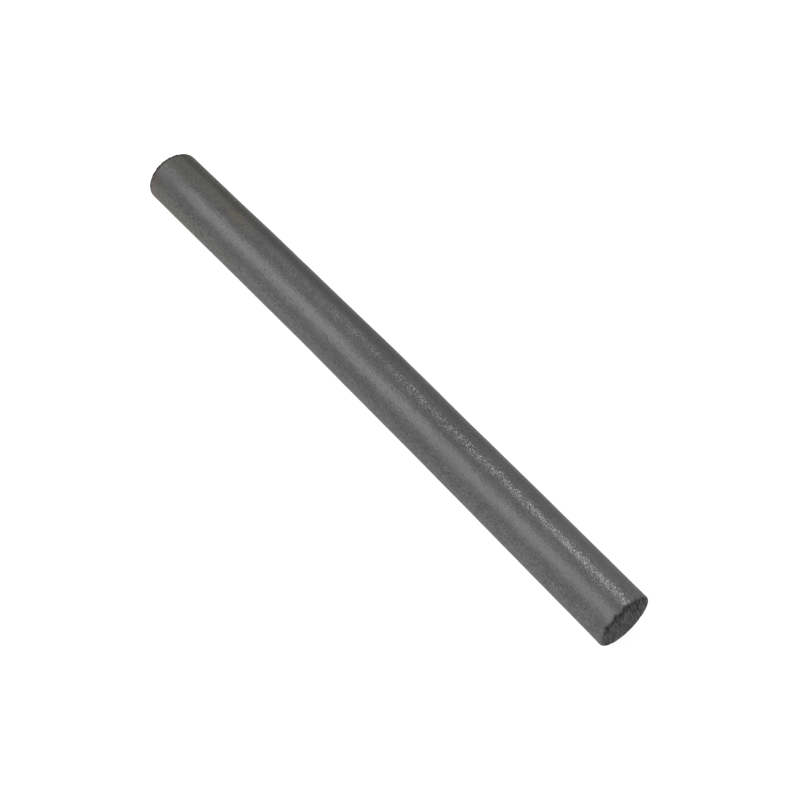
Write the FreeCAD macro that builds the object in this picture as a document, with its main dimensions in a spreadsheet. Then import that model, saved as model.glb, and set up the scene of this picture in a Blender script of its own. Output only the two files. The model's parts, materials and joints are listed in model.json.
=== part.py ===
# Round compressed-charcoal drawing stick, millimetres.
#
# The object is one extruded and dried bar of charcoal powder and binder. It has
# no case, core, sleeve or fastener, so the model is one Body with one solid.
#
# Frame: the stick lies on its drying flat. +X runs along the stick, from the
# snapped end (-X) to the cut end (+X). +Z is up. The origin is on the surface
# that the stick lies on, under the middle of its length.
#
# Geometry, in the order it is made:
#   bar       round bar, revolved about its own axis. The -X end is a snapped
#             end that stands proud in the middle by a fraction of a millimetre.
#             The +X end is a flat cut. Both rims are rubbed round.
#   dry_flat  narrow flat along the underside, where the soft bar lay on the
#             board while it dried.
import FreeCAD, Part
import math
import os

import Sketcher

V = FreeCAD.Vector
doc = FreeCAD.newDocument("charcoal_stick")

# ---------------------------------------------------------------- dimensions
sheet = doc.addObject("Spreadsheet::Sheet", "dims")
DIMS = [
    ("stick_length", 95.0, "overall length, crown of the snapped end to the cut end"),
    ("stick_radius", 4.0, "radius of the round bar"),
    ("snap_rise", 0.4, "how far the snapped end stands proud of its rim"),
    ("snap_rim", 0.5, "rubbed rim radius at the snapped end"),
    ("cut_rim", 0.35, "rubbed rim radius at the cut end"),
    ("flat_width", 1.3, "width of the drying flat on the underside"),
]
for row, (alias, value, note) in enumerate(DIMS, start=1):
    sheet.set("A%d" % row, note)
    sheet.set("B%d" % row, str(value))
    sheet.setAlias("B%d" % row, alias)
doc.recompute()


def cell(alias):
    return float(sheet.get(alias))


# ---------------------------------------------------------------------- body
body = doc.addObject("PartDesign::Body", "stick")
body.Label = "charcoal_stick"
# the flat lies on Z = 0, so the bar's axis stands over it by this much
AXIS_HEIGHT = "sqrt(dims.stick_radius ^ 2 - (dims.flat_width / 2) ^ 2)"
body.setExpression("Placement.Base.z", AXIS_HEIGHT)


def plane(role):
    for feature in body.Origin.OriginFeatures:
        if feature.Role == role:
            return feature
    raise RuntimeError("no plane " + role)


def new_sketch(name, role):
    sketch = body.newObject("Sketcher::SketchObject", name)
    sketch.AttachmentSupport = [(plane(role), "")]
    sketch.MapMode = "FlatFace"
    return sketch


def add(sketch, *args):
    return sketch.addConstraint(Sketcher.Constraint(*args))


def drive(sketch, name, index, expression):
    sketch.renameConstraint(index, name)
    sketch.setExpression("Constraints." + name, expression)


# half section of the bar in the XZ plane, revolved about the bar's own axis
half = cell("stick_length") / 2.0
radius = cell("stick_radius")
rise = cell("snap_rise")
snap_rim = cell("snap_rim")
cut_rim = cell("cut_rim")
rim_plane = -half + rise  # the snapped end's rim
chord = radius - snap_rim
crown = (chord ** 2 + rise ** 2) / (2.0 * rise)  # radius of the snapped face
k = math.sqrt(0.5)

section = new_sketch("bar_section", "XZ_Plane")
AXIS, CUT_FACE, CUT_RIM, SIDE, SNAP_RIM, SNAP_FACE = range(6)
half_angle = math.asin(chord / crown) / 2.0
section.addGeometry(
    [
        Part.LineSegment(V(-half, 0, 0), V(half, 0, 0)),
        Part.LineSegment(V(half, 0, 0), V(half, radius - cut_rim, 0)),
        Part.Arc(
            V(half, radius - cut_rim, 0),
            V(half - cut_rim * (1 - k), radius - cut_rim * (1 - k), 0),
            V(half - cut_rim, radius, 0),
        ),
        Part.LineSegment(V(half - cut_rim, radius, 0), V(rim_plane + snap_rim, radius, 0)),
        Part.Arc(
            V(rim_plane + snap_rim, radius, 0),
            V(rim_plane + snap_rim * (1 - k), radius - snap_rim * (1 - k), 0),
            V(rim_plane, chord, 0),
        ),
        Part.Arc(
            V(rim_plane, chord, 0),
            V(
                -half + crown - crown * math.cos(half_angle),
                crown * math.sin(half_angle),
                0,
            ),
            V(-half, 0, 0),
        ),
    ],
    False,
)
START, END, CENTRE = 1, 2, 3
add(section, "Horizontal", AXIS)
add(section, "Symmetric", AXIS, START, AXIS, END, -1, START)
add(section, "Coincident", AXIS, END, CUT_FACE, START)
add(section, "Vertical", CUT_FACE)
add(section, "Tangent", CUT_FACE, END, CUT_RIM, START)
add(section, "Tangent", CUT_RIM, END, SIDE, START)
add(section, "Horizontal", SIDE)
add(section, "Tangent", SIDE, END, SNAP_RIM, START)
add(section, "Horizontal", SNAP_RIM, CENTRE, SNAP_RIM, END)
add(section, "Coincident", SNAP_RIM, END, SNAP_FACE, START)
add(section, "Coincident", SNAP_FACE, END, AXIS, START)
add(section, "PointOnObject", SNAP_FACE, CENTRE, -1)
drive(
    section,
    "stick_length",
    add(section, "DistanceX", AXIS, START, AXIS, END, 2 * half),
    "dims.stick_length",
)
drive(
    section,
    "stick_radius",
    add(section, "DistanceY", AXIS, END, SIDE, START, radius),
    "dims.stick_radius",
)
drive(section, "cut_rim", add(section, "Radius", CUT_RIM, cut_rim), "dims.cut_rim")
drive(section, "snap_rim", add(section, "Radius", SNAP_RIM, snap_rim), "dims.snap_rim")
drive(
    section,
    "snap_rise",
    add(section, "DistanceX", SNAP_FACE, END, SNAP_FACE, START, rise),
    "dims.snap_rise",
)
doc.recompute()

bar = body.newObject("PartDesign::Revolution", "bar")
bar.Profile = section
bar.ReferenceAxis = (section, ["H_Axis"])
bar.Angle = 360.0
section.Visibility = False
doc.recompute()
round_volume = bar.Shape.Volume

# drying flat: everything lower than the flat is cut from the bar
board = new_sketch("board_outline", "XY_Plane")
board.AttachmentOffset = FreeCAD.Placement(V(0, 0, 0), FreeCAD.Rotation())
board.setExpression("AttachmentOffset.Base.z", "-" + AXIS_HEIGHT)
reach_x, reach_y = half + 2.0, radius + 1.0
corners = [
    V(-reach_x, -reach_y, 0),
    V(reach_x, -reach_y, 0),
    V(reach_x, reach_y, 0),
    V(-reach_x, reach_y, 0),
]
board.addGeometry(
    [Part.LineSegment(corners[i], corners[(i + 1) % 4]) for i in range(4)], False
)
for i in range(4):
    add(board, "Coincident", i, END, (i + 1) % 4, START)
add(board, "Horizontal", 0)
add(board, "Horizontal", 2)
add(board, "Vertical", 1)
add(board, "Vertical", 3)
add(board, "Symmetric", 0, START, 1, END, -1, START)
drive(
    board,
    "board_length",
    add(board, "DistanceX", 0, START, 0, END, 2 * reach_x),
    "dims.stick_length + 4",
)
drive(
    board,
    "board_width",
    add(board, "DistanceY", 1, START, 1, END, 2 * reach_y),
    "2 * dims.stick_radius + 2",
)
doc.recompute()

dry_flat = body.newObject("PartDesign::Pocket", "dry_flat")
dry_flat.Profile = board
dry_flat.Type = 0
dry_flat.Length = 1.0
dry_flat.setExpression("Length", "dims.stick_radius")
dry_flat.Reversed = False
board.Visibility = False
body.Tip = dry_flat
doc.recompute()

# -------------------------------------------------------------------- checks
for item in doc.Objects:
    if "Invalid" in item.State or "Error" in item.State:
        raise RuntimeError("%s failed: %s" % (item.Name, item.State))
for sketch in (section, board):
    if sketch.solve() != 0:
        raise RuntimeError("%s doesn't solve" % sketch.Name)
    if sketch.FullyConstrained is False:
        raise RuntimeError("%s has freedom left" % sketch.Name)

flat = cell("flat_width")
depth = radius - math.sqrt(radius ** 2 - (flat / 2.0) ** 2)
sector = math.asin(flat / 2.0 / radius)
segment = radius ** 2 * sector - (flat / 2.0) * (radius - depth)
cut_away = round_volume - body.Shape.Volume
if not 0.97 * segment * (2 * half - 2) < cut_away < 1.01 * segment * 2 * half:
    raise RuntimeError("the drying flat took %.3f mm3" % cut_away)

parts = [body]
os.makedirs("parts", exist_ok=True)
for part in parts:
    shape = part.Shape
    if shape.isNull() or not shape.isValid() or len(shape.Solids) != 1:
        raise RuntimeError(part.Label + " is not one valid solid")
    shape.exportStep("parts/" + part.Label + ".step")
    box = shape.optimalBoundingBox(False, False)  # the true extents of the stick
    print(
        "%s  %.3f x %.3f x %.3f mm  z from %.4f  volume %.1f mm3"
        % (part.Label, box.XLength, box.YLength, box.ZLength, box.ZMin, shape.Volume)
    )
print("flat depth %.4f mm, axis height %.4f mm" % (depth, radius - depth))
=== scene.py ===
"""Round stick of compressed drawing charcoal, lying on a pale table.

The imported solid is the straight, clean bar. The piece made here replaces it: one closed mesh of the
same size, with the slight bow, the die lines, the pits, the chipped rims, the wiped cut face and the
broken end of a real stick, and a procedural charcoal material on it.

Lengths in the mesh code are millimetres, and become metres when the mesh is made.
"""

import json
import math

import bpy
import numpy as np
from mathutils import Matrix, Vector


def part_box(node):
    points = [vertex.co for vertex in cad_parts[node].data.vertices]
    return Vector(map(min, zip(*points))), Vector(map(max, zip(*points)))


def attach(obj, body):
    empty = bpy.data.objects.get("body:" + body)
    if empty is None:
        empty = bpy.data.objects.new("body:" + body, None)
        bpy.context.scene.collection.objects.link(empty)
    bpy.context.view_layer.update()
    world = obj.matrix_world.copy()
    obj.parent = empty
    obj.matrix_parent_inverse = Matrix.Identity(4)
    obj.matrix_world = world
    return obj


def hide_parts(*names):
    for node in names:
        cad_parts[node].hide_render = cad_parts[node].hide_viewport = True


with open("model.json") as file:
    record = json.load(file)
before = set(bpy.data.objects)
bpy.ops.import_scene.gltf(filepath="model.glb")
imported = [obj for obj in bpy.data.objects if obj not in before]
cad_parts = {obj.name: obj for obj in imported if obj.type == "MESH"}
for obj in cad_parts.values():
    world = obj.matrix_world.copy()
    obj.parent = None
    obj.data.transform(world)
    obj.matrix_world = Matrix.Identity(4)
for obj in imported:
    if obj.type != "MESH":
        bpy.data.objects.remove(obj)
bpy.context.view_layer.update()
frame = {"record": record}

barrel = next(m for m in frame["record"]["mounts"] if m["name"] == "barrel")
low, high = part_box("charcoal_stick")
RADIUS = barrel["dims"]["r_mm"]
AXIS_Z = barrel["pos_m"][2] * 1000.0
X_SNAP, X_CUT = low.x * 1000.0, high.x * 1000.0
LENGTH = X_CUT - X_SNAP

SNAP_RISE, SNAP_RIM, CUT_RIM = 0.40, 0.50, 0.35
BOW = 0.26  # how far the middle stands off a straight line, towards +Y

# --------------------------------------------------------------------------- noise


def field(nx, ny, dx, dy, lx, ly, seed):
    """Smooth noise on a grid that wraps both ways, features about lx by ly, unit deviation."""
    rng = np.random.default_rng(seed)
    g = np.fft.fft2(rng.standard_normal((nx, ny)))
    kx = np.fft.fftfreq(nx, dx)[:, None]
    ky = np.fft.fftfreq(ny, dy)[None, :]
    g *= np.exp(-((kx * lx) ** 2 + (ky * ly) ** 2) * 1.1)
    g[0, 0] = 0
    out = np.fft.ifft2(g).real
    return out / out.std()


def sample(grid, u, v):
    """Bilinear look-up in a grid that wraps both ways; u and v count cells."""
    nx, ny = grid.shape
    i, j = np.floor(u).astype(int), np.floor(v).astype(int)
    a, b = u - i, v - j
    i0, i1, j0, j1 = i % nx, (i + 1) % nx, j % ny, (j + 1) % ny
    return (
        grid[i0, j0] * (1 - a) * (1 - b)
        + grid[i1, j0] * a * (1 - b)
        + grid[i0, j1] * (1 - a) * b
        + grid[i1, j1] * a * b
    )


def smooth(t):
    t = np.clip(t, 0, 1)
    return t * t * (3 - 2 * t)


# --------------------------------------------------------------------------- the closed mesh
N = 48  # cells across each end
AROUND = 4 * N
SIDE_CELLS = 468
RIM_CELLS = 6

# rings of the side and both rims: x, radius, outward normal in (x, radius)
rings = []
for i in range(RIM_CELLS):  # snapped rim, from the face to the side
    a = math.radians(90.0 * i / RIM_CELLS)
    rings.append(
        (
            X_SNAP + SNAP_RISE + SNAP_RIM * (1 - math.cos(a)),
            RADIUS - SNAP_RIM * (1 - math.sin(a)),
            -math.cos(a),
            math.sin(a),
        )
    )
first, last = X_SNAP + SNAP_RISE + SNAP_RIM, X_CUT - CUT_RIM
for i in range(SIDE_CELLS + 1):
    t = i / SIDE_CELLS
    rings.append((first + (last - first) * t, RADIUS, 0.0, 1.0))
for i in range(1, RIM_CELLS + 1):  # cut rim, from the side to the face
    a = math.radians(90.0 * i / RIM_CELLS)
    rings.append(
        (
            X_CUT - CUT_RIM * (1 - math.sin(a)),
            RADIUS - CUT_RIM * (1 - math.cos(a)),
            math.sin(a),
            math.cos(a),
        )
    )
rings = np.array(rings)
M = len(rings)
phi = -math.pi / 2 + 2 * math.pi * np.arange(AROUND) / AROUND  # 0 is at the underside

ring_x = np.repeat(rings[:, 0:1], AROUND, 1)
ring_r = np.repeat(rings[:, 1:2], AROUND, 1)
ring_nx = np.repeat(rings[:, 2:3], AROUND, 1)
ring_nr = np.repeat(rings[:, 3:4], AROUND, 1)
ring_phi = np.repeat(phi[None, :], M, 0)

# noise on the unrolled side
DS = 0.1
NS = int(math.ceil((LENGTH + 8) / DS))
GIRTH = 2 * math.pi * RADIUS


def side_noise(lx, ly, seed):
    g = field(NS, AROUND, DS, GIRTH / AROUND, lx, ly, seed)
    return sample(
        g,
        (ring_x - X_SNAP + 4) / DS,
        np.repeat(np.arange(AROUND)[None, :].astype(float), M, 0),
    )


lumps = side_noise(26.0, 9.0, 11) * 0.024
swells = side_noise(6.0, 4.0, 12) * 0.0055
mottle = side_noise(1.8, 1.2, 13) * 0.0022
lines = side_noise(46.0, 0.55, 14) * 0.0020 + side_noise(18.0, 0.30, 15) * 0.0010
grain = side_noise(0.42, 0.34, 16) * 0.0024
d = lumps + swells + mottle + lines + grain
swell_at = np.cos(ring_phi - math.radians(205))
d += 0.055 * np.exp(-(((ring_x + 32.0) / 10.0) ** 2)) * smooth((swell_at - 0.3) / 0.7)
from_swell = np.mod(ring_phi - math.radians(86) + math.pi, 2 * math.pi) - math.pi
d += 0.029 * smooth((ring_x - 31.0) / 11.0) * np.tanh(from_swell / 0.21) * np.cos(from_swell / 2) ** 2
worn_line = side_noise(5.0, 3.0, 19)
for deg0, deg1, x0, x1, tall in (  # single scratches that the die drew along the stick
    (147.0, 157.0, X_SNAP + 2.5, X_SNAP + 40.0, -0.0060),
    (153.5, 152.0, 6.0, 24.0, 0.0055),
    (152.0, 150.5, 30.0, 43.0, 0.0040),
    (93.0, 95.0, -12.0, 10.0, -0.0030),
    (22.0, 18.0, -30.0, 25.0, -0.0060),
    (-20.0, -25.0, X_SNAP + 5.0, 20.0, 0.0050),
    (262.0, 250.0, -20.0, 44.0, -0.0060),
):
    reach = np.clip((ring_x - x0) / (x1 - x0), 0, 1)
    middle_phi = np.radians(deg0 + (deg1 - deg0) * reach)
    off = (np.mod(ring_phi - middle_phi + math.pi, 2 * math.pi) - math.pi) * RADIUS
    ends = smooth((ring_x - x0) / 3.0) * smooth((x1 - ring_x) / 3.0)
    d += tall * np.exp(-((off / 0.16) ** 2)) * ends * np.clip(0.75 + 0.45 * worn_line, 0, 1.6)

# pits, and a few longer nicks along the side
rng = np.random.default_rng(21)
pit_mask = np.zeros_like(d)


def press(x0, a0, ax, aa, depth, turn=0.0, rim=0.0):
    """One hollow at x0 and angle a0, ax by aa across, turned on the surface; rim is a raised lip."""
    rows = np.where(abs(rings[:, 0] - x0) < 3.2 * max(ax, aa))[0]
    if not len(rows):
        return
    sl = slice(rows[0], rows[-1] + 1)
    du = ring_x[sl] - x0
    dv = (np.mod(ring_phi[sl] - a0 + math.pi, 2 * math.pi) - math.pi) * RADIUS
    c, s = math.cos(turn), math.sin(turn)
    q = ((du * c + dv * s) / ax) ** 2 + ((dv * c - du * s) / aa) ** 2
    hole = np.exp(-(q**1.4))
    d[sl] += -depth * hole + rim * depth * np.exp(-((np.sqrt(q) - 1.5) ** 2) / 0.25)
    pit_mask[sl] = np.maximum(pit_mask[sl], hole * min(1.0, depth / 0.035))


for k in range(190):  # pinholes
    size = 0.08 + 0.06 * rng.random() ** 2
    press(
        rng.uniform(X_SNAP + 0.6, X_CUT - 0.5),
        rng.uniform(-math.pi, math.pi),
        size * rng.uniform(0.9, 1.7),
        size,
        rng.uniform(0.005, 0.014),
    )
for k in range(15):  # small pits
    size = rng.uniform(0.13, 0.22)
    press(
        rng.uniform(X_SNAP + 1, X_CUT - 1),
        rng.uniform(-math.pi, math.pi),
        size * rng.uniform(0.9, 1.5),
        size,
        rng.uniform(0.012, 0.028),
        rng.uniform(-0.5, 0.5),
        0.10,
    )
for k in range(12):  # scuffs, mostly along the stick
    press(
        rng.uniform(X_SNAP + 2, X_CUT - 2),
        rng.uniform(-math.pi, math.pi),
        rng.uniform(0.8, 2.6),
        rng.uniform(0.08, 0.13),
        rng.uniform(0.003, 0.007),
        rng.normal(0.0, 0.25),
        0.2,
    )

side_y = (ring_r + d * ring_nr) * np.cos(ring_phi)
side_z = (ring_r + d * ring_nr) * np.sin(ring_phi)
side_x = ring_x + d * ring_nx

# ends: a square grid pressed into a disc, so its outline has the side's own vertices
lin = np.linspace(-1, 1, N + 1)
gu, gv = np.meshgrid(lin, lin, indexing="ij")
big = np.maximum(abs(gu), abs(gv))
safe = np.where(big == 0, 1, big)
wedge = np.where(
    abs(gu) >= abs(gv),
    np.where(gu >= 0, gv / safe * math.pi / 4, math.pi - gv / safe * math.pi / 4),
    np.where(
        gv >= 0,
        math.pi / 2 - gu / safe * math.pi / 4,
        -math.pi / 2 + gu / safe * math.pi / 4,
    ),
)


def disc(rim_radius):
    return big * rim_radius * np.cos(wedge), big * rim_radius * np.sin(wedge)


def face_noise(py, pz, along, across, turn, seed):
    """Noise over an end face; along is the feature length in the direction turn, from +Y towards +Z."""
    n, step = 256, 0.05
    g = field(n, n, step, step, along, across, seed)
    c, s = math.cos(turn), math.sin(turn)
    return sample(g, (py * c + pz * s) / step, (pz * c - py * s) / step)


DRAG = math.radians(107.0)  # the way the blade was drawn across the cut face


def cut_relief(py, pz):
    """Height of the cut face, outwards, always below zero."""
    rho = np.hypot(py, pz)
    streak = face_noise(py, pz, 1.7, 0.21, DRAG, 31) * 0.024
    broad = face_noise(py, pz, 2.4, 1.0, DRAG, 32) * 0.018
    crumb = face_noise(py, pz, 0.42, 0.34, 0.3, 33)
    crumb = np.where(crumb > 0, crumb * 0.009, crumb * 0.024)
    fine = face_noise(py, pz, 0.22, 0.20, 0.9, 34) * 0.010
    dish = -0.13 * (1 - (rho / (RADIUS - CUT_RIM)) ** 2)
    return streak + broad + crumb + fine + dish - 0.02


def snap_relief(py, pz):
    """Height of the broken face over its dome, outwards."""
    big_break = face_noise(py, pz, 3.2, 2.2, 0.5, 41)
    ridge = -abs(face_noise(py, pz, 1.7, 1.1, 1.2, 42)) + 0.8
    crumb = face_noise(py, pz, 0.55, 0.45, 0.1, 43)
    fine = face_noise(py, pz, 0.25, 0.22, 0.7, 44) * 0.016
    return (
        big_break * 0.045
        + ridge * 0.060
        + np.where(crumb > 0, crumb * 0.030, crumb * 0.052)
        + fine
        - 0.03
    )


def end_face(x_plane, outward, rim_radius, relief, dome):
    py, pz = disc(rim_radius)
    rho = np.hypot(py, pz)
    fade = smooth((rim_radius - rho) / 0.35 + 0.12)
    height = relief(py, pz) * fade + dome * (1 - (rho / rim_radius) ** 2)
    return x_plane + outward * height, py, pz


cut_x, cut_y, cut_z = end_face(X_CUT, 1.0, RADIUS - CUT_RIM, cut_relief, 0.0)
snap_x, snap_y, snap_z = end_face(
    X_SNAP + SNAP_RISE, -1.0, RADIUS - SNAP_RIM, snap_relief, SNAP_RISE
)

# --- one vertex table: side rings, then the inner vertices of each face
edge_index = {}
for k in range(AROUND):
    a = phi[k]
    # the square's outline vertex at this angle
    q = (a + math.pi / 4) % (2 * math.pi)
    quadrant, share = int(q // (math.pi / 2)), (q % (math.pi / 2)) / (math.pi / 2)
    n = int(round(share * N))
    if n == N:
        quadrant, n = (quadrant + 1) % 4, 0
    ij = [(N, n), (N - n, N), (0, N - n), (n, 0)][quadrant]
    edge_index[ij] = k
assert len(edge_index) == AROUND


def face_table(ring_row, offset):
    """Vertex number of each grid point of an end face."""
    table = np.zeros((N + 1, N + 1), int)
    n = offset
    inner = []
    for i in range(N + 1):
        for j in range(N + 1):
            if (i, j) in edge_index:
                table[i, j] = ring_row * AROUND + edge_index[(i, j)]
            else:
                table[i, j] = n
                inner.append((i, j))
                n += 1
    return table, inner, n


snap_table, snap_inner, count = face_table(0, M * AROUND)
cut_table, cut_inner, count = face_table(M - 1, count)
ii = tuple(np.array(snap_inner).T)
jj = tuple(np.array(cut_inner).T)
X = np.concatenate([side_x.ravel(), snap_x[ii], cut_x[jj]])
Y = np.concatenate([side_y.ravel(), snap_y[ii], cut_y[jj]])
Z = np.concatenate([side_z.ravel(), snap_z[ii], cut_z[jj]])

# raw charcoal: 0 on the burnished side, 1 on the cut and broken faces, in chips and in pits
raw = np.zeros(count)
side_raw = np.clip(pit_mask, 0, 1) * 0.45
tilt = np.degrees(np.arctan2(abs(ring_nx), ring_nr))
ragged = side_noise(0.45, 0.55, 17) * 7.0 + side_noise(1.6, 1.3, 18) * 7.0
lip = smooth(0.42 + 0.95 * np.cos(ring_phi - math.radians(126)))  # widest on the upper front side
from_lip = (first - ring_x) + 0.16 * lip - 0.07 + 0.006 * ragged
worn = np.where(ring_x < 0, from_lip / 0.12, (tilt + ragged - 30) / 42)
side_raw = np.maximum(side_raw, np.where((tilt > 1) | (ring_x < 0), smooth(worn), 0))
raw[: M * AROUND] = side_raw.ravel()
raw[M * AROUND :] = 1.0


# --- chips bitten out of the rims
def chip_rim(x_rim, r_rim, out_x, seed, chips):
    rng = np.random.default_rng(seed)
    rough = field(NS, AROUND, DS, GIRTH / AROUND, 0.4, 0.35, seed + 1)
    angle = np.arctan2(Z, Y)
    rho = np.hypot(Y, Z)
    near = np.where(abs(X - x_rim) < 2.6)[0]
    sway = sample(
        rough, (X[near] - X_SNAP + 4) / DS, (angle[near] + math.pi / 2) / (2 * math.pi) * AROUND
    )
    for a0, width, along, depth in chips(rng):
        cy, cz = r_rim * math.cos(a0), r_rim * math.sin(a0)
        ty, tz = -math.sin(a0), math.cos(a0)
        dy, dz = Y[near] - cy, Z[near] - cz
        tangent = dy * ty + dz * tz
        radial = (dy * math.cos(a0) + dz * math.sin(a0)) * 0.9
        axial = (X[near] - x_rim) * out_x
        q = np.sqrt(
            (tangent / width) ** 2 + (radial / (along * 0.8)) ** 2 + (axial / along) ** 2
        )
        q = q * (1 + 0.16 * sway)
        bite = depth * smooth((1.0 - q) * 1.6)
        X[near] -= out_x * bite * 0.62
        Y[near] -= bite * 0.78 * np.cos(angle[near])
        Z[near] -= bite * 0.78 * np.sin(angle[near])
        raw[near] = np.maximum(raw[near], smooth((bite - 0.012) / 0.07))


def cut_chips(rng):
    out = []
    for k in range(54):  # crumbled all round, most where the blade went in, at the top and back
        a0 = rng.uniform(0, 2 * math.pi)
        where = 0.35 + 0.65 * max(0.0, math.cos(a0 - math.radians(110)))
        out.append(
            (a0, rng.uniform(0.12, 0.40), rng.uniform(0.14, 0.26), rng.uniform(0.01, 0.06) * where)
        )
    for deg, width, along, depth in (
        (97, 0.55, 0.26, 0.08),
        (119, 0.36, 0.26, 0.08),
        (148, 0.62, 0.26, 0.07),
        (70, 0.45, 0.22, 0.06),
        (-38, 0.5, 0.35, 0.09),
        (-120, 0.42, 0.38, 0.10),
    ):
        out.append((math.radians(deg), width, along, depth))
    return out


def snap_chips(rng):
    out = []
    for k in range(44):
        out.append(
            (
                rng.uniform(0, 2 * math.pi),
                rng.uniform(0.18, 0.6),
                rng.uniform(0.2, 0.5),
                rng.uniform(0.008, 0.04),
            )
        )
    for deg, width, along, depth in (
        (-22, 0.6, 0.55, 0.11),
        (-75, 0.7, 0.6, 0.15),
        (-128, 0.5, 0.5, 0.12),
        (205, 0.7, 0.5, 0.07),
    ):
        out.append((math.radians(deg), width, along, depth))
    return out


chip_rim(X_CUT - 0.10, RADIUS - 0.08, 1.0, 51, cut_chips)
chip_rim(X_SNAP + SNAP_RISE + 0.15, RADIUS - 0.12, -1.0, 61, snap_chips)
X += 0.035 * Y * smooth((X_SNAP + 3.0 - X) / 2.4)  # the stick broke a little out of square

# --- the drying flat, with the board's faint print, then the bow
flat_rng = field(NS, 256, DS, 0.1, 3.0, 0.7, 71)
print_ = sample(flat_rng, (X - X_SNAP + 4) / DS, (Y + 6) / 0.1)
bottom = 0.004 + 0.0025 * print_
Z = Z + AXIS_Z
soft = 0.012
Z = np.where(
    Z > bottom + 0.25, Z, bottom + soft * np.logaddexp(0, (Z - bottom) / soft)
)
flat_mask = smooth((0.09 - Z) / 0.07)
Y = Y + BOW * (1 - (2 * X / LENGTH) ** 2)

# --- faces
faces = []
row = np.arange(AROUND)
nxt = (row + 1) % AROUND
for j in range(M - 1):
    a, b = j * AROUND, (j + 1) * AROUND
    faces.append(np.stack([a + row, a + nxt, b + nxt, b + row], 1))
side_faces = np.concatenate(faces)
i, j = np.meshgrid(np.arange(N), np.arange(N), indexing="ij")
i, j = i.ravel(), j.ravel()


def grid_faces(table, flip):
    q = np.stack([table[i, j], table[i + 1, j], table[i + 1, j + 1], table[i, j + 1]], 1)
    return q[:, ::-1] if flip else q


cut_faces = grid_faces(cut_table, False)
snap_faces = grid_faces(snap_table, True)
quads = np.concatenate([side_faces, snap_faces, cut_faces])

mesh = bpy.data.meshes.new("charcoal_bar")
mesh.vertices.add(count)
mesh.vertices.foreach_set("co", (np.stack([X, Y, Z], 1) / 1000.0).astype(np.float32).ravel())
mesh.loops.add(quads.size)
mesh.loops.foreach_set("vertex_index", quads.ravel().astype(np.int32))
mesh.polygons.add(len(quads))
mesh.polygons.foreach_set("loop_start", np.arange(0, quads.size, 4, dtype=np.int32))
mesh.polygons.foreach_set("loop_total", np.full(len(quads), 4, dtype=np.int32))

# --- unwrap: the side as two half-length strips, one over the other, and the faces above them
uv = np.zeros((len(quads), 4, 2), np.float32)
MARGIN = 0.006
n_side = len(side_faces)
ring_of = side_faces // AROUND
col_of = (side_faces % AROUND).astype(float)
wrap = (col_of.max(1, keepdims=True) - col_of > AROUND / 2) & (col_of.max(1, keepdims=True) > 1)
col_of = np.where(wrap, col_of + AROUND, col_of)
arc = np.concatenate([[0], np.cumsum(np.hypot(np.diff(rings[:, 0]), np.diff(rings[:, 1])))])
cells = np.arange(M - 1)
middle = np.searchsorted(arc, arc[-1] / 2)
cell_row = np.repeat(cells, AROUND)
second = cell_row >= middle
s_val = arc[ring_of]
span = max(arc[middle], arc[-1] - arc[middle])
su = np.where(second[:, None], s_val - arc[middle], s_val) / span
strip_h = 0.395
uv[:n_side, :, 0] = MARGIN + su * (1 - 2 * MARGIN)
uv[:n_side, :, 1] = (
    MARGIN + col_of / AROUND * strip_h + np.where(second[:, None], strip_h + MARGIN, 0)
)
base_v = 2 * (strip_h + MARGIN) + MARGIN
size_v = 1 - base_v - MARGIN
for n, (table, faces_, u0) in enumerate(
    ((snap_table, snap_faces, 0.02), (cut_table, cut_faces, 0.27))
):
    py, pz = disc(1.0)
    flat_uv = np.zeros((count, 2), np.float32)
    flat_uv[table.ravel(), 0] = u0 + (py.ravel() * 0.5 + 0.5) * size_v
    flat_uv[table.ravel(), 1] = base_v + (pz.ravel() * 0.5 + 0.5) * size_v
    start = n_side + n * len(snap_faces)
    uv[start : start + len(faces_)] = flat_uv[faces_]
layer = mesh.uv_layers.new(name="OFBake")
layer.data.foreach_set("uv", uv.reshape(-1))

for name, values in (("raw", raw), ("flat", flat_mask)):
    attribute = mesh.attributes.new(name, "FLOAT", "POINT")
    attribute.data.foreach_set("value", np.clip(values, 0, 1).astype(np.float32))
mesh.update(calc_edges=True)
mesh.validate()
mesh.shade_smooth()

stick = bpy.data.objects.new("charcoal_bar", mesh)
bpy.context.scene.collection.objects.link(stick)

# --------------------------------------------------------------------------- material
charcoal = bpy.data.materials.new("compressed_charcoal")
charcoal.use_nodes = True
tree = charcoal.node_tree
tree.nodes.clear()


def node(kind, **inputs):
    new = tree.nodes.new(kind)
    for key, value in inputs.items():
        if hasattr(new, key) and key not in new.inputs:
            setattr(new, key, value)
            continue
        socket = new.inputs[key.replace("_", " ")] if key.replace("_", " ") in new.inputs else new.inputs[key]
        if isinstance(value, bpy.types.NodeSocket):
            tree.links.new(value, socket)
        else:
            socket.default_value = value
    return new


def math_node(op, a, b=None, clamp=False):
    new = tree.nodes.new("ShaderNodeMath")
    new.operation = op
    new.use_clamp = clamp
    for n, value in enumerate((a, b)):
        if value is None:
            continue
        if isinstance(value, bpy.types.NodeSocket):
            tree.links.new(value, new.inputs[n])
        else:
            new.inputs[n].default_value = value
    return new.outputs[0]


def ramp(value, from_lo, from_hi, to_lo, to_hi, kind="LINEAR"):
    new = tree.nodes.new("ShaderNodeMapRange")
    new.interpolation_type = kind
    tree.links.new(value, new.inputs["Value"])
    for key, v in (("From Min", from_lo), ("From Max", from_hi), ("To Min", to_lo), ("To Max", to_hi)):
        if isinstance(v, bpy.types.NodeSocket):
            tree.links.new(v, new.inputs[key])
        else:
            new.inputs[key].default_value = v
    return new.outputs["Result"]


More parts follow.
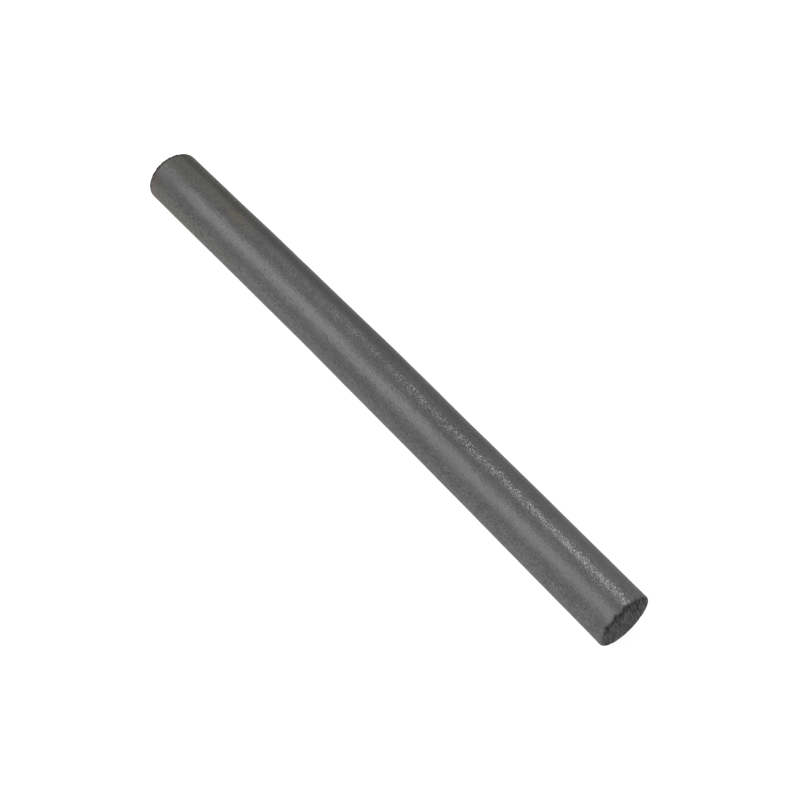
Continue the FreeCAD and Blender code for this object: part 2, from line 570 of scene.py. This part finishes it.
def mix_rgb(kind, factor, a, b):
    new = tree.nodes.new("ShaderNodeMix")
    new.data_type = "RGBA"
    new.blend_type = kind
    for key, value in ((0, factor), (6, a), (7, b)):
        if isinstance(value, bpy.types.NodeSocket):
            tree.links.new(value, new.inputs[key])
        else:
            new.inputs[key].default_value = value
    return new.outputs[2]


def mix_value(factor, a, b):
    new = tree.nodes.new("ShaderNodeMix")
    new.data_type = "FLOAT"
    for key, value in ((0, factor), (2, a), (3, b)):
        if isinstance(value, bpy.types.NodeSocket):
            tree.links.new(value, new.inputs[key])
        else:
            new.inputs[key].default_value = value
    return new.outputs[0]


coords = tree.nodes.new("ShaderNodeTexCoord").outputs["Object"]


def scaled(sx, sy, sz, shift=(0, 0, 0)):
    """Object coordinates in millimetres, times a scale."""
    new = tree.nodes.new("ShaderNodeMapping")
    tree.links.new(coords, new.inputs["Vector"])
    new.inputs["Scale"].default_value = (1000 * sx, 1000 * sy, 1000 * sz)
    new.inputs["Location"].default_value = shift
    return new.outputs[0]


def noise(vector, scale, detail=2.0, rough=0.5):
    new = tree.nodes.new("ShaderNodeTexNoise")
    tree.links.new(vector, new.inputs["Vector"])
    new.inputs["Scale"].default_value = scale
    new.inputs["Detail"].default_value = detail
    new.inputs["Roughness"].default_value = rough
    return new.outputs["Fac"]


def attribute(name):
    new = tree.nodes.new("ShaderNodeAttribute")
    new.attribute_name = name
    return new.outputs["Fac"]


mm = scaled(1, 1, 1)
along = scaled(0.05, 1, 1)
raw_fac = attribute("raw")
flat_fac = attribute("flat")

patch = noise(scaled(0.45, 1, 1), 0.20, 2.0)
cloud = noise(scaled(0.5, 1, 1, (3, 7, 1)), 0.9, 3.0, 0.55)
speck = noise(mm, 4.6, 2.0, 0.6)
streaks = noise(along, 2.3, 3.0, 0.6)
tint = noise(scaled(0.4, 1, 1, (11, 2, 5)), 0.17, 1.5)

MANTLE, RAW = 0.112, 0.0865


def vector_math(op, a, b=None, scale_=None):
    new = tree.nodes.new("ShaderNodeVectorMath")
    new.operation = op
    for n, value in enumerate((a, b)):
        if value is None:
            continue
        if isinstance(value, bpy.types.NodeSocket):
            tree.links.new(value, new.inputs[n])
        else:
            new.inputs[n].default_value = value
    if isinstance(scale_, bpy.types.NodeSocket):
        tree.links.new(scale_, new.inputs["Scale"])
    elif scale_ is not None:
        new.inputs["Scale"].default_value = scale_
    return new.outputs["Value"] if op == "DOT_PRODUCT" else new.outputs["Vector"]


def grains(scale_, shift):
    """Random colour of each grain, grains about 1 / scale_ mm."""
    new = tree.nodes.new("ShaderNodeTexVoronoi")
    new.voronoi_dimensions = "3D"
    new.feature = "F1"
    tree.links.new(scaled(1, 1, 1, shift), new.inputs["Vector"])
    new.inputs["Scale"].default_value = scale_
    return new.outputs["Color"]


split = tree.nodes.new("ShaderNodeSeparateXYZ")
tree.links.new(mm, split.inputs[0])
x_mm, y_mm, z_mm = split.outputs
fine_grain, coarse_grain = grains(8.3, (2, 3, 4)), grains(3.6, (8, 1, 6))
grain_split = tree.nodes.new("ShaderNodeSeparateColor")
tree.links.new(fine_grain, grain_split.inputs[0])
coarse_split = tree.nodes.new("ShaderNodeSeparateColor")
tree.links.new(coarse_grain, coarse_split.inputs[0])

# painted light and shade along the stick: the back is darker towards the broken end and lighter towards the cut
# end, and the whole stick a little brighter towards the cut end; towards the broken end also a faint colour tint by
# which way the side faces
painted_shade_back = math_node("MULTIPLY", ramp(y_mm, 1.1, 2.1, 0, 1, "SMOOTHSTEP"), ramp(x_mm, -45, 5, 0.22, 0.0))
painted_light_back = math_node("MULTIPLY", ramp(y_mm, 0.3, 1.6, 0, 1, "SMOOTHSTEP"), ramp(x_mm, -5, 45, 0.0, 0.26))
shade = math_node("ADD", ramp(x_mm, -45, 45, 0.985, 1.075), math_node("SUBTRACT", painted_light_back, painted_shade_back))
# painted reflection tint: bluish where the side faces the broad highlight band, warmer elsewhere, strongest towards
# the broken end
tint_toward_break = ramp(x_mm, -39, -22, 0.75, 0.06, "SMOOTHSTEP")
faces_highlight = vector_math("DOT_PRODUCT", mm, (0.0, -0.574 / RADIUS, 0.819 / RADIUS))
faces_highlight = math_node("SUBTRACT", faces_highlight, 0.819 * AXIS_Z / RADIUS)
faces_highlight = math_node("ADD", faces_highlight, ramp(tint, 0.3, 0.7, -0.12, 0.12))


def blot(x0, y0, along_mm, across_mm):
    """A soft round-edged stain on top of the side."""
    gap = vector_math("MULTIPLY", vector_math("SUBTRACT", mm, (x0, y0, 0)), (1 / along_mm, 1 / across_mm, 0))
    far_ = vector_math("DOT_PRODUCT", gap, gap)
    return ramp(far_, 0.0, 1.0, 1.0, 0.0, "SMOOTHSTEP")

tone = math_node("MULTIPLY", ramp(patch, 0.3, 0.7, 0.95, 1.05), ramp(cloud, 0.3, 0.7, 0.94, 1.06))
tone = math_node("MULTIPLY", tone, ramp(speck, 0.3, 0.7, 0.90, 1.10))
tone = math_node("MULTIPLY", tone, ramp(streaks, 0.3, 0.7, 0.95, 1.05))
# painted shade and a duller finish: on the front band near the broken tip the colour is 5% darker and the specular
# lower, dimming the highlight there
tip_shade_and_dull = math_node("MULTIPLY", ramp(y_mm, -0.8, -1.7, 0, 1, "SMOOTHSTEP"), ramp(y_mm, -2.5, -3.1, 1, 0))
tip_shade_and_dull = math_node("MULTIPLY", tip_shade_and_dull, ramp(x_mm, -43.5, -36.0, 1, 0, "SMOOTHSTEP"))
speckle = ramp(grain_split.outputs[0], 0, 1, -1, 1)
speckle = math_node("MULTIPLY", speckle, ramp(z_mm, 6.35, 5.9, 0.18, 0.43, "SMOOTHSTEP"))
clumps = ramp(coarse_split.outputs[0], 0, 1, -1, 1)
clumps = math_node("MULTIPLY", clumps, ramp(z_mm, 6.35, 5.9, 0.02, 0.12, "SMOOTHSTEP"))
tone = math_node("MULTIPLY", tone, math_node("ADD", math_node("ADD", speckle, clumps), 1.0))
tone = math_node("MULTIPLY", tone, shade)
# painted light and shade in strips: a band on the front flank, lighter towards both ends and darker just past the
# middle, and a lighter band along the top of the broken-end half, under the glint line
painted_front_band = math_node("MULTIPLY", ramp(y_mm, -2.6, -3.3, 0, 1), ramp(z_mm, 6.1, 5.6, 0, 1, "SMOOTHSTEP"))
painted_front_band = math_node("MULTIPLY", painted_front_band, ramp(z_mm, 5.3, 4.3, 1.0, 0.25))
painted_front_along = math_node("ADD", ramp(x_mm, -22, -6, 0.15, 0.04), ramp(x_mm, 3, 11, 0.0, -0.10))
painted_front_along = math_node("ADD", painted_front_along, ramp(x_mm, 20, 27, 0.0, 0.13))
painted_top_light = math_node("MULTIPLY", ramp(y_mm, -0.8, 0.9, 0.0, 0.165), ramp(y_mm, 1.15, 1.55, 1.0, 0.0))
painted_top_light = math_node("MULTIPLY", painted_top_light, math_node("MULTIPLY", ramp(x_mm, -8, 9, 1.0, 0.0), ramp(x_mm, -46, -38, 0.6, 1.0)))
strips = math_node("ADD", math_node("MULTIPLY", painted_front_band, painted_front_along), painted_top_light)
tone = math_node("MULTIPLY", tone, math_node("ADD", strips, 1.0))
tone = math_node("MULTIPLY", tone, ramp(tip_shade_and_dull, 0, 1, 1.0, 0.95))
tone = math_node("MULTIPLY", tone, ramp(flat_fac, 0, 1, 1.0, 0.86))

# end faces: crumbs, and on both the marks of the break or the blade, running up and down
turned = tree.nodes.new("ShaderNodeMapping")
tree.links.new(mm, turned.inputs["Vector"])
turned.inputs["Rotation"].default_value = (-DRAG, 0, 0)
drawn = tree.nodes.new("ShaderNodeMapping")
tree.links.new(turned.outputs[0], drawn.inputs["Vector"])
drawn.inputs["Scale"].default_value = (0.5, 0.62, 4.8)
was_cut = ramp(x_mm, -1, 1, 0, 1)
blade = mix_value(was_cut, 0.5, noise(drawn.outputs[0], 1.0, 2.0, 0.55))
grit = noise(mm, 4.6, 3.0, 0.65)
bold = ramp(z_mm, 3.4, 5.8, 0.55, 1.18, "SMOOTHSTEP")  # the strokes are deepest where the blade went in
strokes = math_node("MULTIPLY", ramp(blade, 0.38, 0.62, -0.56, 0.66), bold)
# painted light and shade on the raw faces, chiefly the cut face: lighter near the bottom, darker towards the top
# rim
painted_shade_cut_face = math_node("MULTIPLY", ramp(z_mm, 0.8, 5.0, 1.30, 1.0), ramp(z_mm, 4.6, 7.3, 1.0, 0.55))
raw_tone = math_node("MULTIPLY", ramp(grit, 0.32, 0.68, 0.76, 1.30), RAW)
raw_tone = math_node("MULTIPLY", raw_tone, math_node("ADD", strokes, 1.0))
raw_tone = math_node("MULTIPLY", raw_tone, painted_shade_cut_face)
value = mix_value(raw_fac, math_node("MULTIPLY", tone, MANTLE), raw_tone)

# painted reflection tint: bluish on the highlight band, warmer off it
reflection_tint = mix_rgb("MIX", ramp(faces_highlight, 0.84, 0.96, 0, 1), (1.02, 1.025, 0.915, 1), (0.997, 1.0, 1.018, 1))
even = mix_rgb("MIX", tint_toward_break, (1.0, 1.0, 1.0, 1), reflection_tint)
even = mix_rgb("MIX", math_node("MULTIPLY", blot(-31.6, 0.6, 2.6, 1.1), 0.7), even, (1.16, 0.99, 0.80, 1))
at_break = ramp(x_mm, -46.6, -44.6, 1, 0)
even = mix_rgb("MIX", math_node("MULTIPLY", at_break, ramp(y_mm, -2.1, -1.4, 0, 1)), even, (1.03, 1.03, 0.905, 1))
even = mix_rgb("MIX", math_node("MULTIPLY", at_break, ramp(y_mm, -2.3, -3.5, 0.1, 1)), even, (1.21, 0.965, 0.87, 1))
face_tint = mix_rgb("MIX", ramp(noise(scaled(1, 1, 1, (6, 2, 9)), 0.8, 1.0), 0.38, 0.62, 0, 1), (1.06, 0.972, 0.985, 1), (0.99, 0.972, 1.065, 1))
hue = mix_rgb("MIX", raw_fac, even, face_tint)
grey = node("ShaderNodeCombineColor", Red=value, Green=value, Blue=value).outputs[0]
base = mix_rgb("MULTIPLY", 1.0, grey, hue)

shine = ramp(noise(scaled(0.5, 1, 1, (1, 9, 4)), 0.55, 2.0), 0.3, 0.7, 0.225, 0.275)
polish = math_node("MULTIPLY", ramp(grain_split.outputs[1], 0, 1, -0.05, 0.07), ramp(y_mm, -1.8, -2.4, 1.0, 0.3))
shine = math_node("ADD", shine, polish)
shine = math_node("ADD", shine, math_node("ADD", ramp(x_mm, 8, 36, 0.0, 0.032), ramp(x_mm, 37, 45, 0.0, 0.022)))
shine = math_node("ADD", shine, ramp(y_mm, -1.8, -2.7, 0.0, 0.07))
roughness = mix_value(raw_fac, shine, 0.85)
roughness = mix_value(flat_fac, roughness, 0.62)
specular = math_node("MULTIPLY", mix_value(raw_fac, 0.5, 0.25), ramp(tip_shade_and_dull, 0, 1, 1.0, 0.60))

# surface: burnished grains that each lean their own way and glint, coarse crumbs on the raw faces
facet = noise(scaled(0.7, 1, 1, (5, 5, 5)), 5.2, 1.5, 0.55)
skin = math_node("ADD", math_node("MULTIPLY", facet, 0.030), math_node("MULTIPLY", streaks, 0.010))
crumbs = math_node(
    "ADD",
    math_node("MULTIPLY", noise(mm, 3.1, 3.0, 0.6), mix_value(was_cut, 0.16, 0.06)),
    math_node("ADD", math_node("MULTIPLY", noise(mm, 8.0, 2.0, 0.6), 0.05), math_node("MULTIPLY", blade, 0.16)),
)
height = mix_value(raw_fac, skin, crumbs)
bump = tree.nodes.new("ShaderNodeBump")
bump.inputs["Strength"].default_value = 1.0
bump.inputs["Distance"].default_value = 0.001
tree.links.new(height, bump.inputs["Height"])
lean = vector_math("SUBTRACT", fine_grain, (0.5, 0.5, 0.5))
tilting = math_node("ADD", ramp(x_mm, 8, 32, 0.155, 0.102), ramp(x_mm, 37, 45, 0.0, 0.062))
tilting = math_node("MULTIPLY", tilting, ramp(y_mm, -1.5, -2.6, 1.0, 0.68))
lean = vector_math("SCALE", lean, scale_=tilting)
lean_coarse = vector_math("SUBTRACT", coarse_grain, (0.5, 0.5, 0.5))
lean = vector_math("ADD", lean, vector_math("SCALE", lean_coarse, scale_=0.05))
normal = vector_math("NORMALIZE", vector_math("ADD", bump.outputs[0], lean))

shader = tree.nodes.new("ShaderNodeBsdfPrincipled")
tree.links.new(base, shader.inputs["Base Color"])
tree.links.new(roughness, shader.inputs["Roughness"])
tree.links.new(specular, shader.inputs["Specular IOR Level"])
tree.links.new(normal, shader.inputs["Normal"])
output = tree.nodes.new("ShaderNodeOutputMaterial")
tree.links.new(shader.outputs[0], output.inputs["Surface"])
mesh.materials.append(charcoal)

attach(stick, "root")
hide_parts("charcoal_stick")

# --------------------------------------------------------------------------- stage
scene = bpy.context.scene
scene.view_settings.view_transform = "Standard"
scene.view_settings.look = "None"
scene.view_settings.exposure = 0.0
scene.view_settings.gamma = 1.0


def plain(name, colour, emission=0.0, rough=0.9):
    mat = bpy.data.materials.new(name)
    mat.use_nodes = True
    p = mat.node_tree.nodes["Principled BSDF"]
    p.inputs["Base Color"].default_value = (*colour, 1)
    p.inputs["Roughness"].default_value = rough
    p.inputs["Specular IOR Level"].default_value = 0.0
    p.inputs["Emission Color"].default_value = (*colour, 1)
    p.inputs["Emission Strength"].default_value = emission
    return mat


def sheet_object(name, corners, mat):
    m = bpy.data.meshes.new(name)
    m.from_pydata(corners, [], [tuple(range(len(corners)))])
    o = bpy.data.objects.new(name, m)
    m.materials.append(mat)
    scene.collection.objects.link(o)
    return o


FLOOR = 3.0
floor = sheet_object(
    "floor",
    [(-FLOOR, -FLOOR, -2e-5), (FLOOR, -FLOOR, -2e-5), (FLOOR, FLOOR, -2e-5), (-FLOOR, FLOOR, -2e-5)],
    plain("pale_table", (0.30, 0.30, 0.30), 3.0),
)
floor.visible_glossy = False

world = bpy.data.worlds.new("studio")
scene.world = world
world.use_nodes = True
background = world.node_tree.nodes["Background"]
background.inputs["Strength"].default_value = 1.0
# dim room above, the pale table's light from below
way = world.node_tree.nodes.new("ShaderNodeTexCoord")
parts_ = world.node_tree.nodes.new("ShaderNodeSeparateXYZ")
blend = world.node_tree.nodes.new("ShaderNodeMapRange")
blend.interpolation_type = "SMOOTHSTEP"
for key, v in (("From Min", -0.40), ("From Max", -0.10), ("To Min", 0.37), ("To Max", 0.135)):
    blend.inputs[key].default_value = v
world.node_tree.links.new(way.outputs["Generated"], parts_.inputs[0])
world.node_tree.links.new(parts_.outputs["Z"], blend.inputs["Value"])
world.node_tree.links.new(blend.outputs["Result"], background.inputs["Color"])

# pale wall behind the table, only for the camera to see
wall_mesh = bpy.data.meshes.new("wall")
segments, top = 48, 2.4
ring = [(2.9 * math.cos(2 * math.pi * k / segments), 2.9 * math.sin(2 * math.pi * k / segments)) for k in range(segments)]
wall_mesh.from_pydata(
    [(x, y, -0.05) for x, y in ring] + [(x, y, top) for x, y in ring],
    [],
    [(k, (k + 1) % segments, segments + (k + 1) % segments, segments + k) for k in range(segments)],
)
wall = bpy.data.objects.new("wall", wall_mesh)
wall_mat = bpy.data.materials.new("pale_wall")
wall_mat.use_nodes = True
wall_mat.node_tree.nodes.clear()
glow = wall_mat.node_tree.nodes.new("ShaderNodeEmission")
glow.inputs["Color"].default_value = (1, 1, 1, 1)
glow.inputs["Strength"].default_value = 0.96
wall_out = wall_mat.node_tree.nodes.new("ShaderNodeOutputMaterial")
wall_mat.node_tree.links.new(glow.outputs[0], wall_out.inputs["Surface"])
wall_mesh.materials.append(wall_mat)
scene.collection.objects.link(wall)
wall.visible_diffuse = wall.visible_glossy = wall.visible_shadow = False
wall.visible_transmission = wall.visible_volume_scatter = False


def softbox(name, azimuth, elevation, distance, width, height, radiance, roll=0.0):
    """A rectangular soft light that faces the stick. Azimuth is from +X towards +Y."""
    a, e = math.radians(azimuth), math.radians(elevation)
    direction = Vector((math.cos(a) * math.cos(e), math.sin(a) * math.cos(e), math.sin(e)))
    data = bpy.data.lights.new(name, "AREA")
    data.shape = "RECTANGLE"
    data.size, data.size_y = width, height
    data.energy = radiance * 4.0 * width * height
    obj = bpy.data.objects.new(name, data)
    rotation = direction.to_track_quat("Z", "Y").to_matrix().to_4x4()
    obj.matrix_world = (
        Matrix.Translation(direction * distance)
        @ rotation
        @ Matrix.Rotation(math.radians(roll), 4, "Z")
    )
    obj.visible_camera = False
    scene.collection.objects.link(obj)
    return obj


softbox("key", 108.5, 59.6, 1.2, 0.42, 0.085, 36.5, 12)
softbox("side", -112, 42.5, 1.2, 2.4, 0.69, 2.09, -12)

# --------------------------------------------------------------------------- camera
AZ, EL = math.radians(50.8), math.radians(53.7)
right = Vector((math.cos(AZ), math.sin(AZ), 0))
back = Vector((math.sin(AZ) * math.cos(EL), -math.cos(AZ) * math.cos(EL), math.sin(EL)))
up = back.cross(right)
ROLL = 0.00072
right, up = right * math.cos(ROLL) - up * math.sin(ROLL), right * math.sin(ROLL) + up * math.cos(ROLL)
scale = (LENGTH - SNAP_RISE) / 1000.0 / 0.47815
near_centre = Vector((X_CUT / 1000.0, 0, AXIS_Z / 1000.0))
place = near_centre - scale * (0.13548 * right - 0.13375 * up - back)
cam_data = bpy.data.cameras.new("camera")
cam_data.sensor_width = 36.0
cam_data.lens = 74.81
cam_data.clip_start = 0.01
camera = bpy.data.objects.new("camera", cam_data)
camera.matrix_world = Matrix(
    (
        (right.x, up.x, back.x, place.x),
        (right.y, up.y, back.y, place.y),
        (right.z, up.z, back.z, place.z),
        (0, 0, 0, 1),
    )
)
scene.collection.objects.link(camera)
scene.camera = camera
